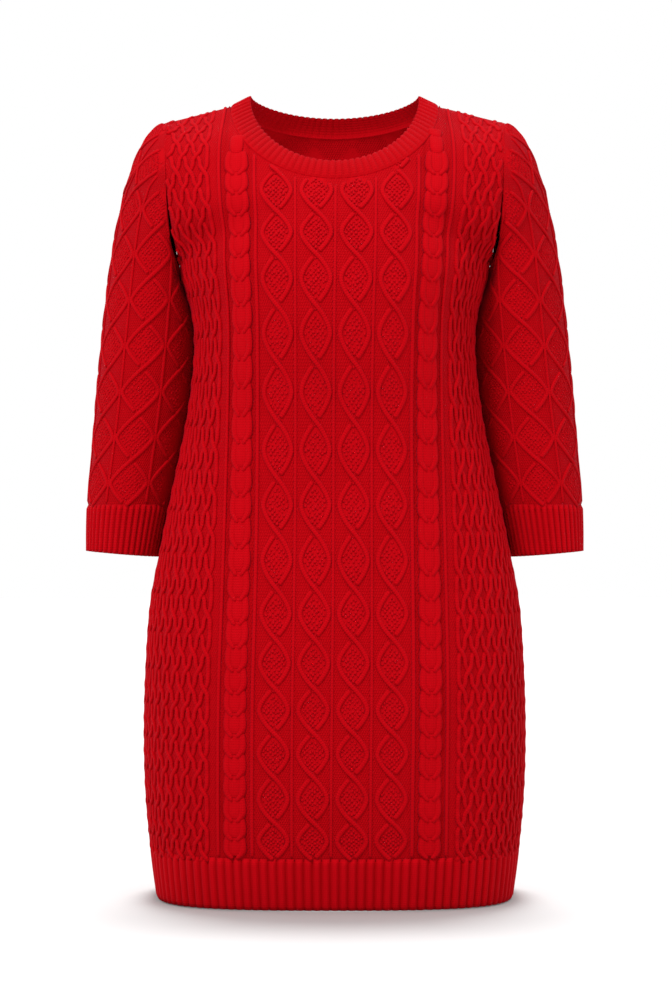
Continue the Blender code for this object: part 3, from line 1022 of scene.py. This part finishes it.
class Strands:
    """A skein of strands that become one piece."""

    def __init__(self, chart, stretch=unstretched):
        self.chart, self.stretch = chart, stretch
        self.laid = []

    def lay(self, across, up, width, height, section=ROUND):
        """A strand along a path. Width and height may change along it, and are in millimetres."""
        across = self.stretch(across, up)
        width, height = width + 0 * up, height + 0 * up
        kept = self.chart.inside(across, up, EDGE_MARGIN)
        middle, _ = self.chart.place(across, up)
        kept &= self.chart.inside_piece(middle, EDGE_MARGIN + CUT_MARGIN * width)
        starts = np.flatnonzero(np.diff(np.concatenate([[0], kept.astype(int)])) == 1)
        ends = np.flatnonzero(np.diff(np.concatenate([kept.astype(int), [0]])) == -1) + 1
        for start, end in zip(starts, ends):
            if end - start >= FEWEST_POINTS:
                run = slice(start, end)
                self.lay_run(across[run], up[run], width[run], height[run], section)

    def lay_run(self, across, up, width, height, section):
        middle, outward = self.chart.place(across, up)
        forward = unit(np.gradient(middle, axis=0))
        sideways = unit(np.cross(forward, outward))
        along = np.concatenate([[0.0], np.cumsum(np.linalg.norm(np.diff(middle, axis=0), axis=1))])
        if along[-1] < SHORTEST:
            return
        from_end = np.clip(np.minimum(along, along[-1] - along) / BLUNT_END, 0.0, 1.0)
        taper = np.sqrt(1 - (1 - from_end) ** 2)
        profile = np.array(section + section[:1])
        out = (profile[:, 1] * (height + SUNK)[:, None] * taper[:, None]) - CLOTH_DEPTH - SUNK
        aside = profile[:, 0] * (width / 2 * taper)[:, None]
        points = middle[:, None] + outward[:, None] * out[..., None]
        points = points + sideways[:, None] * aside[..., None]
        uv = np.stack([aside + STITCH_WIDTH, along[:, None] + 0 * aside], axis=2)
        # Painted shade: a strand is painted darker down its sides and at its tapered ends than along
        # its top.
        crest_and_shade = profile[:, 1] * taper[:, None] * STRAND_CREST_SHADE
        self.laid.append((points, uv, crest_and_shade))

    def make(self, name, mirror=False):
        """One mesh of all the strands: a flat grid for each, in a line, and then each in its place."""
        bm = bmesh.new()
        for number, (points, _, _) in enumerate(self.laid):
            rows, columns = points.shape[:2]
            shift = Matrix.Translation((2.0 * number, 0.0, 0.0))
            faces = {"x_segments": columns - 1, "y_segments": rows - 1}
            bmesh.ops.create_grid(bm, size=0.5, matrix=shift, **faces)
        mesh, flat = new_mesh(name, bm)
        strand = np.rint(flat[:, 0] / 2).astype(int)
        columns = np.array([points.shape[1] for points, _, _ in self.laid])
        rows = np.array([points.shape[0] for points, _, _ in self.laid])
        first = np.concatenate([[0], np.cumsum(rows * columns)[:-1]])
        column = np.rint((flat[:, 0] - 2 * strand + 0.5) * (columns[strand] - 1)).astype(int)
        row = np.rint((flat[:, 1] + 0.5) * (rows[strand] - 1)).astype(int)
        at = first[strand] + row * columns[strand] + column
        points = np.concatenate([points.reshape(-1, 3) for points, _, _ in self.laid])[at]
        set_points(mesh, points * (-1, 1, 1) if mirror else points)
        set_uv(mesh, np.concatenate([uv.reshape(-1, 2) for _, uv, _ in self.laid])[at])
        set_values(mesh, "crest_and_shade", np.concatenate([crest_and_shade.ravel() for _, _, crest_and_shade in self.laid])[at])
        mend(mesh, weld=1e-7, slivers=1e-7)
        triangles = sum(len(face.vertices) - 2 for face in mesh.polygons)
        print(name, "has", len(self.laid), "strands and", triangles, "triangles")
        return link_piece(name, mesh, cable_wool)


# %% [markdown]
# ## Diamond cables
# At each crossing the strand that falls to the right lies on top, and the other one goes under it
# and comes out again a little further on. So what shows is one strand for each crossing: it comes
# up beside a diamond, climbs over the crossing and ends beside the next, with a small dark gap
# before the strand that lies on it there.

# %% Lay the diamonds
STRAND_WIDTH, STRAND_HEIGHT = 5.8, 1.9
CROSSING_RISE, RISE_LENGTH = 0.7, 0.12  # in millimetres, and in repeats
HIDDEN = 0.058  # of a repeat, from a crossing to the end of the strand that goes under it
STRAND_POINTS = 46


def diamond_strands(skein, middle, reach, first, last, roundness=ROUNDNESS, scale=1.0):
    for crossing in range(first, last + 1):
        share = (1 - np.cos(math.pi * np.linspace(0.0, 1.0, STRAND_POINTS))) / 2
        start = max(crossing - 1 + HIDDEN, first)
        up = start + share * (crossing + 1 - HIDDEN - start)
        side = np.sign(crossing - up)
        height = STRAND_HEIGHT + CROSSING_RISE * np.exp(-(((up - crossing) / RISE_LENGTH) ** 2))
        skein.lay(middle + side * bow(up, reach, roundness), up, STRAND_WIDTH * scale, height * scale)


LINE_STEP = 1 / 9


def line(skein, across, first, last, width=3.8, height=1.6):
    up = np.arange(first, last, LINE_STEP)
    skein.lay(across + 0 * up, up, width, height, PLAIN)


print("a strand shows from", HIDDEN, "to", 2 - HIDDEN, "repeats")

# %% [markdown]
# ## Moss stitch
# Moss stitch fills the diamonds with small upright bumps, set like the black squares of a
# chessboard. Each is a low six-sided dome with a point at both ends, of which the lower half is
# sunk in the ground. One dome is copied by doubling, each copy two units further along, so that a
# vertex's place says which dome it is on. Then all the domes move to their stitches at once. Every
# dome is a little larger, smaller or further aside than the next, as real stitches are.

# %% Moss domes
DOME_SIDES = 6
DOME_HALF_WIDTH, DOME_HALF_LENGTH, DOME_HEIGHT = 1.6, 2.4, 1.15
DOME_SMALLEST, DOME_LARGEST = 0.7, 1.3
DRIFT_ACROSS, DRIFT_UP = 0.6, 0.016  # in millimetres, and in repeats
MOSS_EDGE = 3.6  # from a dome's middle to the middle of the strand round it
MOSS_MARGIN = 2.5
MOST_ACROSS = 9  # domes that can fit on each side of a diamond's middle


def many_domes(count):
    """A mesh of domes, and for each vertex the number of its dome and its place on it."""
    bm = bmesh.new()
    bmesh.ops.create_uvsphere(bm, u_segments=DOME_SIDES, v_segments=2, radius=0.5)
    made = 1
    while made < count:
        copy = bmesh.ops.duplicate(bm, geom=bm.verts[:] + bm.edges[:] + bm.faces[:])["geom"]
        verts = [part for part in copy if isinstance(part, bmesh.types.BMVert)]
        bmesh.ops.translate(bm, verts=verts, vec=(2.0 * made, 0.0, 0.0))
        made *= 2
    bmesh.ops.delete(bm, geom=[v for v in bm.verts if v.co.x > 2 * count - 1], context="VERTS")
    mesh, flat = new_mesh("domes", bm)
    dome = np.rint(flat[:, 0] / 2).astype(int)
    flat[:, 0] -= 2 * dome
    return mesh, dome, flat * 2


def moss_domes(name, chart, stretch, columns, reach, last, roundness, mirror=False, scale=1.0):
    """Domes inside every diamond whose column's middle is listed, up to last repeats up."""
    across, up = [], []
    for middle in columns:
        for row in range(int(last * ROWS_IN_REPEAT)):
            at = (row + 0.5) / ROWS_IN_REPEAT
            half = float(bow(np.array(at), reach, roundness)) - MOSS_EDGE
            places = np.arange(-MOST_ACROSS, MOST_ACROSS + 1) * 2 * STITCH_WIDTH
            places = places + (row % 2) * STITCH_WIDTH
            places = places[np.abs(places) <= half]
            across.extend(middle + places)
            up.extend([at] * len(places))
    across, up = np.array(across), np.array(up)
    draw = np.random.default_rng(len(name))
    across = stretch(across + draw.uniform(-DRIFT_ACROSS, DRIFT_ACROSS, len(up)), up)
    up = up + draw.uniform(-DRIFT_UP, DRIFT_UP, len(up))
    kept = chart.inside(across, up, MOSS_MARGIN)
    across, up = across[kept], up[kept]
    size = scale * draw.uniform(DOME_SMALLEST, DOME_LARGEST, (len(up), 3))
    size = size * (DOME_HALF_WIDTH, DOME_HALF_LENGTH, DOME_HEIGHT)
    place, outward = chart.place(across, up)
    a_little_above, _ = chart.place(across, up + 0.02)
    upward = unit(a_little_above - place)
    sideways = np.cross(upward, outward)
    mesh, dome, local = many_domes(len(up))
    middle = place - outward * CLOTH_DEPTH
    shape = (local * size[dome])[..., None]
    points = middle[dome] + sideways[dome] * shape[:, 0] + upward[dome] * shape[:, 1]
    points = points + outward[dome] * shape[:, 2]
    set_points(mesh, points * (-1, 1, 1) if mirror else points)
    mesh.name = name
    set_uv(mesh, shape[:, :2, 0])
    # Painted shade: each dome is painted darker at its foot than on its top.
    set_values(mesh, "crest_and_shade", np.clip(0.7 + 0.5 * local[:, 2], 0.0, 1.0))
    mend(mesh)
    print(name, "has", len(up), "domes")
    return link_piece(name, mesh, cable_wool)


# %% [markdown]
# ## The plait
# Beside the diamonds stands a plait like an ear of wheat. Each of its lobes is a cup: two strands
# bulge apart, curl in below and meet in two slanting tips on the top of the next lobe, and flat
# stitches fill the middle between them. A lobe is a little under half a diamond tall.

# %% Lay a plait
PLAIT_MIDDLE, PLAIT_START = 100.0, 0.065
LOBES_IN_REPEAT = 2.096
LOBE = np.array((
    # down the lobe, from the middle, half width, height
    (-0.22, 5.6, 3.2, 1.0),
    (0.0, 7.0, 4.1, 1.8),
    (0.3, 8.0, 4.5, 2.4),
    (0.62, 8.2, 4.4, 2.8),
    (0.8, 7.2, 3.8, 3.0),
    (0.93, 5.1, 3.1, 3.2),
    (1.04, 3.1, 2.6, 3.3),
    (1.14, 1.6, 2.2, 3.2),
))
LOBE_FILL = np.array((
    # down the lobe, half width, height
    (-0.2, 6.0, 1.0),
    (0.1, 8.0, 1.9),
    (0.6, 8.0, 2.3),
    (0.85, 6.5, 2.1),
    (1.0, 4.0, 1.5),
))
LOBE_POINTS = 20
LOBE_CLEAR = 3  # millimetres; a lobe's strands are laid only where both clear the edge by this


def plait(skein, middle, first, last):
    down = np.linspace(LOBE[-1, 0], LOBE[0, 0], LOBE_POINTS)
    down_fill = np.linspace(LOBE_FILL[-1, 0], LOBE_FILL[0, 0], LOBE_POINTS)
    for lobe in range(int((last - first) * LOBES_IN_REPEAT)):
        half, height = (read(LOBE_FILL, column, down_fill) for column in (1, 2))
        up = first + (lobe + 1 - down_fill) / LOBES_IN_REPEAT
        skein.lay(middle + 0 * up, up, 2 * half, height, FLAT)
        aside, half, height = (read(LOBE, column, down) for column in (1, 2, 3))
        up = first + (lobe + 1 - down) / LOBES_IN_REPEAT
        both = middle + np.array((-1, 1))[:, None] * (aside + LOBE_CLEAR)
        if skein.chart.inside(skein.stretch(both, up), up + 0 * both, EDGE_MARGIN).all():
            for hand in (-1, 1):
                skein.lay(middle + hand * aside, up, 2 * half, height)


print("a lobe is", round(1 / LOBES_IN_REPEAT, 3), "of a repeat tall")

# %% [markdown]
# ## The lattice
# From the plait to the side seam runs a lattice: a score of thin strands that step sideways past
# each other, row after row. In one row the strands that fall to the right lie on top, and in
# the next row the others do. Each strand walks one place outwards in each row until it meets the
# edge, and then walks back, like beads moved round a ring.

# %% Lay a lattice
LATTICE_START, LATTICE_GAP, LATTICE_STRANDS = 130.0, 7.4, 21
LATTICE_ROW = 0.386  # of a repeat
LATTICE_WIDTH, LATTICE_HEIGHT = 6.0, 2.4
STEPS_IN_ROW = 7
OVER, UNDER = 0.9, -1.1  # a strand's rise where it lies on top, and its fall where it goes under
STRAIGHT = 0.06  # the share of a row, at each end, in which a strand doesn't step aside
LEVEL = 0.12  # and in which it doesn't rise or fall
SHOULDER_REPEATS, SHOULDER_SHARES = (13.0, 16.0), (1.0, 0.6)  # the lattice is lower at the shoulder
SLEEVE_REPEATS = (6.5, 7.5)  # and, below the end of the sleeve, at the sides
SIDE_SEATS, SIDE_LOSS = (9, 17), 0.4


def lattice(skein, hand, first, last):
    rows = int((last - first) / LATTICE_ROW)
    row = np.arange(rows * STEPS_IN_ROW + 1) / STEPS_IN_ROW
    up = first + row * LATTICE_ROW
    whole = np.floor(row)
    part = row - whole
    ring = 2 * LATTICE_STRANDS
    for strand in range(LATTICE_STRANDS):
        def seat(at):
            bead = (2 * strand + at) % ring
            return np.where(bead < LATTICE_STRANDS, bead, ring - 1 - bead)

        here, there = seat(whole), seat(whole + 1)
        step = np.clip((part - STRAIGHT) / (1 - 2 * STRAIGHT), 0.0, 1.0)
        step = step * step * (3 - 2 * step)
        place = here + (there - here) * step
        crossing = np.sin(math.pi * np.clip((part - LEVEL) / (1 - 2 * LEVEL), 0.0, 1.0)) ** 2
        turn_about = 1 - 2 * (whole % 2)  # 1 and -1 in turn, row by row
        on_top = np.sign(here - there) * hand * turn_about
        height = LATTICE_HEIGHT + crossing * np.where(on_top > 0, OVER, UNDER)
        height = height * np.interp(up, SHOULDER_REPEATS, SHOULDER_SHARES)
        below_sleeve = np.interp(up, SLEEVE_REPEATS, (1.0, 0.0))
        height = height * (1 - SIDE_LOSS * below_sleeve * np.interp(place, SIDE_SEATS, (0.0, 1.0)))
        across = hand * (LATTICE_START + LATTICE_GAP * place)
        skein.lay(across, up, LATTICE_WIDTH, height, PLAIN)


print("the lattice is", round(LATTICE_GAP * (LATTICE_STRANDS - 1)), "mm wide before it is cut")

# %% [markdown]
# ## Cables of the front and the back
# Both panels carry the same pattern: four columns of diamonds with single lines between them, then
# a plait between two lines, then the lattice. Everything starts at the top of the hem's ribs, and
# the chart cuts it off at the neck, the armholes and the side seams.

# %% Cables of the body
TOP_REPEAT = 18
DIAMOND_COLUMNS = (-1.5, -0.5, 0.5, 1.5)
LATTICE_FOOT = -0.118  # in repeats up
LINE_SHIFT = 1.0  # the single lines aren't quite midway between the columns
INNER_LINE, OUTER_LINE = 81.8, 117.8  # the lines that bound the plait and its ladders


def make_body_cables(side):
    skein = Strands(charts[side], laid_at)
    for column in DIAMOND_COLUMNS:
        diamond_strands(skein, column * PITCH, DIAMOND_REACH, 0, TOP_REPEAT)
    for column in (-1, 0, 1):
        line(skein, column * PITCH - LINE_SHIFT, 0.0, TOP_REPEAT)
    for hand in (-1, 1):
        line(skein, hand * INNER_LINE, 0.0, TOP_REPEAT, width=4.8, height=2.0)
        line(skein, hand * OUTER_LINE, 0.0, TOP_REPEAT, width=4.4, height=2.0)
        plait(skein, hand * PLAIT_MIDDLE, PLAIT_START, TOP_REPEAT)
    return skein.make(side + "_cables")


def make_body_lattice(side):
    skein = Strands(charts[side], laid_at)
    for hand in (-1, 1):
        lattice(skein, hand, LATTICE_FOOT, TOP_REPEAT)
    return skein.make(side + "_lattice")


def make_body_moss(side):
    columns = [column * PITCH for column in DIAMOND_COLUMNS]
    shape = (DIAMOND_REACH, TOP_REPEAT, ROUNDNESS)
    return moss_domes(side + "_moss", charts[side], laid_at, columns, *shape)


body_cables = {side: make_body_cables(side) for side in SIDES}
body_moss = {side: make_body_moss(side) for side in SIDES}
body_lattices = {side: make_body_lattice(side) for side in SIDES}

# %% [markdown]
# ## Sleeves
# The sleeves carry larger diamonds all round, with single lines between their columns. The
# underarm seam cuts the pattern where it happens to fall.

# %% Sleeves
SLEEVE_TOP_REPEAT = 9
SLEEVE_COLUMNS = range(-3, 9)
# Painted shade: the sleeves' ground is painted a little darker than the body's, and lighter under the
# moss.
SLEEVE_CREST_SHADE, SLEEVE_MOSS_CREST_SHADE = GROUND_CREST_SHADE - 0.1, 0.3
STRAND_SCALE, DOME_SCALE = 0.88, 0.85  # the sleeves' strands and domes are slighter
CUFF_RIB = (-1.14, 0.03, 7.0, 1.0)  # from and to in repeats up, pitch in mm, stretch
UNDERARM_REACH = 45.0  # this near the underarm seam the ground swells towards the body
UNDERARM_GAP = 0.3


def make_sleeve(name, mirror):
    up, across = rows_and_columns(sleeve_chart, sleeve_grid)
    first = int(np.argmax(up.max(axis=1) > -0.05))  # just below the top of the cuff's ribs
    grid, up, across = sleeve_grid[first:], up[first:], across[first:]
    outline = (SLEEVE_PITCH, SLEEVE_REACH, math.inf, SLEEVE_ROUNDNESS)
    inside = moss_amount(across + SLEEVE_PITCH / 2, up, *outline)
    uv = np.stack([across, mm_up(up)], axis=2)
    near_seam = np.minimum(from_seams(across) / UNDERARM_REACH, 1.0)
    beside_body = 0.5 + 0.5 * np.cos(math.pi * near_seam)
    _, _, inner_z, clear, _, _ = SLEEVE[::-1].T
    swell = CLOTH_DEPTH + np.interp(grid[:, :, 2], inner_z, clear) - UNDERARM_GAP
    depth = CLOTH_DEPTH - swell * beside_body
    points = grid - form_normals(grid) * depth[..., None]
    # Painted shade on the sleeve's ground, lighter under the moss stitch.
    crest_and_shade = SLEEVE_CREST_SHADE + SLEEVE_MOSS_CREST_SHADE * inside
    ground = make_sheet(name + "_ground", points, uv, inside, crest_and_shade, mirror)
    skein = Strands(sleeve_chart)
    shape = (SLEEVE_REACH, 0, SLEEVE_TOP_REPEAT, SLEEVE_ROUNDNESS, STRAND_SCALE)
    for column in SLEEVE_COLUMNS:
        diamond_strands(skein, column * SLEEVE_PITCH, *shape)
        line(skein, (column + 0.5) * SLEEVE_PITCH, 0.0, SLEEVE_TOP_REPEAT)
    cables = skein.make(name + "_cables", mirror)
    columns = [column * SLEEVE_PITCH for column in SLEEVE_COLUMNS]
    shape = (SLEEVE_REACH, SLEEVE_TOP_REPEAT, SLEEVE_ROUNDNESS, mirror, DOME_SCALE)
    moss = moss_domes(name + "_moss", sleeve_chart, unstretched, columns, *shape)
    cuff = make_rib(name + "_cuff_rib", sleeve_chart, *CUFF_RIB, mirror)
    return ground, cables, moss, cuff


sleeves = {
    "sleeve_left": make_sleeve("sleeve_left", mirror=False),
    "sleeve_right": make_sleeve("sleeve_right", mirror=True),
}

print("each sleeve has", len(sleeves["sleeve_left"]), "pieces")

# %% [markdown]
# ## Neckband
# The neckband is a closed ring of rib. Its section is a loop: up the outer face, over a rounded
# lip and down the inner face. Inside, the seam to the body is a thin ridge.

# %% Section of the neckband
BAND_HALF_WIDTH = 93.0
BAND_TOP_Z = 18.5
BAND_DROP = {"front": 82.5, "back": 14.5}
BAND_REACH = {"front": 88.0, "back": 73.0}
BAND_CURVE = {"front": 1.05, "back": 1.5}
BAND_BULGE = 1.6
BAND_RIBS, BAND_RIB_HEIGHT = 90, 1.5
# Painted shade: the neckband's crest_and_shade value on its ribs' tops; the grooves are painted darker.
BAND_WIDTH = 22  # millimetres of knitting up the band
BAND_CREST_SHADE = 0.35
SCALLOP, SCALLOP_FROM = 0.5, 0.8  # how far the free edge dips between ribs, and where that begins
INNER_FACE, SEAM_RIDGE = 1.6, 3.5  # deeper than these are the inner face and its seam
BAND_SECTION = np.array((
    # share of the way up, depth inwards, share of the rib's height
    (-0.02, 1.2, 0.2),
    (0.03, 0.5, 0.7),
    (0.14, 0.0, 1.0),
    (0.35, 0.0, 1.0),
    (0.56, 0.0, 1.0),
    (0.77, 0.0, 1.0),
    (0.92, 0.1, 1.0),
    (0.985, 0.7, 0.9),
    (1.0, 1.6, 0.7),
    (0.97, 2.4, 0.6),
    (0.85, 2.8, 0.5),
    (0.6, 2.9, 0.5),
    (0.35, 2.9, 0.5),
    (0.1, 3.0, 0.4),
    (0.05, 3.9, 0.0),
    (0.01, 4.1, 0.0),
    (-0.03, 3.8, 0.0),
    (-0.04, 2.6, 0.1),
    (-0.02, 1.2, 0.2),
))
print("the neckband has", BAND_RIBS, "ribs")

# %% [markdown]
# ## Sweeping the neckband
# Two curves guide the loop: the seam to the body and the band's free edge. We sweep it round the
# neck evenly by length, so that the ribs keep their pitch, and weld it to itself both ways.

# %% Sweep the neckband
def neck_curves(turn):
    """The seam to the body and the free edge, turn going from 0 to 2 pi round from the left corner."""
    x, level = -np.cos(turn), np.abs(np.sin(turn))
    seam, edge = np.empty((len(turn), 3)), np.empty((len(turn), 3))
    for side, part in (("front", turn <= math.pi), ("back", turn > math.pi)):
        z = neck_line(side, NECK_HALF_WIDTH * x[part])
        y = SIDES[side] * body_depth(side, NECK_HALF_WIDTH * x[part], z)
        seam[part] = np.stack([NECK_HALF_WIDTH * x[part], y, z], axis=1)
        y = SIDES[side] * BAND_REACH[side] * level[part]
        z = BAND_TOP_Z - BAND_DROP[side] * level[part] ** BAND_CURVE[side]
        edge[part] = np.stack([BAND_HALF_WIDTH * x[part], y, z], axis=1)
    return seam, edge


def make_neckband():
    fine = np.linspace(0.0, 2 * math.pi, 3000)
    seam, edge = neck_curves(fine)
    along = walk((seam + edge) / 2, 0)
    columns = BAND_RIBS * RIB_VERTICES
    around = np.linspace(0.0, along[-1], columns + 1)
    seam, edge = neck_curves(np.interp(around, along, fine))
    seam[-1], edge[-1] = seam[0], edge[0]
    forward = np.roll(seam[:-1] + edge[:-1], -3, axis=0) - np.roll(seam[:-1] + edge[:-1], 3, axis=0)
    forward = np.concatenate([forward, forward[:1]])
    outward = unit(np.cross(forward, edge - seam))
    ribs = ridge(np.arange(columns + 1) / RIB_VERTICES)
    share, depth, rib = (BAND_SECTION[:, [column]][..., None] for column in range(3))
    level = np.clip(1 - (seam[:, :1] / NECK_HALF_WIDTH) ** 2, 0.0, 1.0)
    bulge = BAND_BULGE * np.sin(math.pi * np.clip(share, 0, 1)) * level
    inner = np.where(depth > INNER_FACE, -1.0, 1.0)  # on the inner face a rib stands inwards
    lift = bulge - depth - BAND_RIB_HEIGHT * rib * (1 - ribs[:, None]) * inner
    near_lip = np.clip((share - SCALLOP_FROM) / (1 - SCALLOP_FROM), 0, 1)
    scallop = (ribs[:, None] - 1) * SCALLOP * near_lip
    height = np.linalg.norm(edge - seam, axis=1)[:, None]
    points = seam + (edge - seam) * (share + scallop / height) + outward * lift
    stitches = np.arange(columns + 1) * STITCHES_IN_RIB * STITCH_WIDTH / RIB_VERTICES
    uv = np.stack(np.broadcast_arrays(stitches[None], share[..., 0] * BAND_WIDTH), axis=2)
    mesh, column, row = grid_mesh("neckband_rib", columns, len(BAND_SECTION) - 1)
    set_points(mesh, points[row, column])
    set_uv(mesh, uv[row, column])
    # Painted shade in the grooves between the ribs, and a painted highlight along the seam's ridge
    # inside.
    crest_and_shade = BAND_CREST_SHADE - BAND_CREST_SHADE * (1 - ribs) * rib[..., 0]
    crest_and_shade = np.where(depth[..., 0] > SEAM_RIDGE, 1.0, crest_and_shade)
    set_values(mesh, "crest_and_shade", crest_and_shade[row, column])
    mend(mesh, weld=1e-6)
    print("neckband is", round(float(along[-1])), "mm round")
    return link_piece("neckband_rib", mesh, cable_wool)


neckband = make_neckband()

# %% [markdown]
# ## Light inside the neck
# Open knitting lets light through, so on the real dress the inside of the back isn't dark. A small
# lamp hidden behind the front's neckline stands in for that light. It reaches only the back and the
# neckband. The sleeves hang high above the floor, where the tent's light gets round them, so only
# the body shades the floor from the skylight.

# %% Light the inside of the back
area_lamp("neck_lamp", (0.0, -0.045, -0.15), (0.0, 0.06, -0.04), 0.12, 0.2)
inside_of_neck = collect("inside_of_neck", (grounds["back"], neckband))
bpy.data.objects["neck_lamp"].light_linking.receiver_collection = inside_of_neck

shading = [kind[side] for side in SIDES for kind in (grounds, hem_ribs, body_cables, body_lattices)]
skylight.light_linking.blocker_collection = collect("body_only", shading)

# %% [markdown]
# ## What each piece stands for
# Each new piece replaces a solid of the engineering model, which is hidden. The size that each
# panel was cut to is listed too.

PANEL_CUTS = {"front": (0.574, 0.881), "back": (0.568, 0.88)}  # width and length, in metres


def declare(pieces, solid, finish):
    """Hide the solid that the pieces replace. The finish is not used."""
    for piece in pieces:
        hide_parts(solid)


for side, cut in PANEL_CUTS.items():
    ground, hem = grounds[side], hem_ribs[side]
    knitting = [body_cables[side], body_lattices[side], body_moss[side]]
    declare([ground, hem, *knitting], side, side + "_knit")
for name, (ground, cables, moss, cuff) in sleeves.items():
    declare([ground, cables, moss, cuff], name, "sleeve_knit")
declare([neckband], "neckband", "neckband_knit")
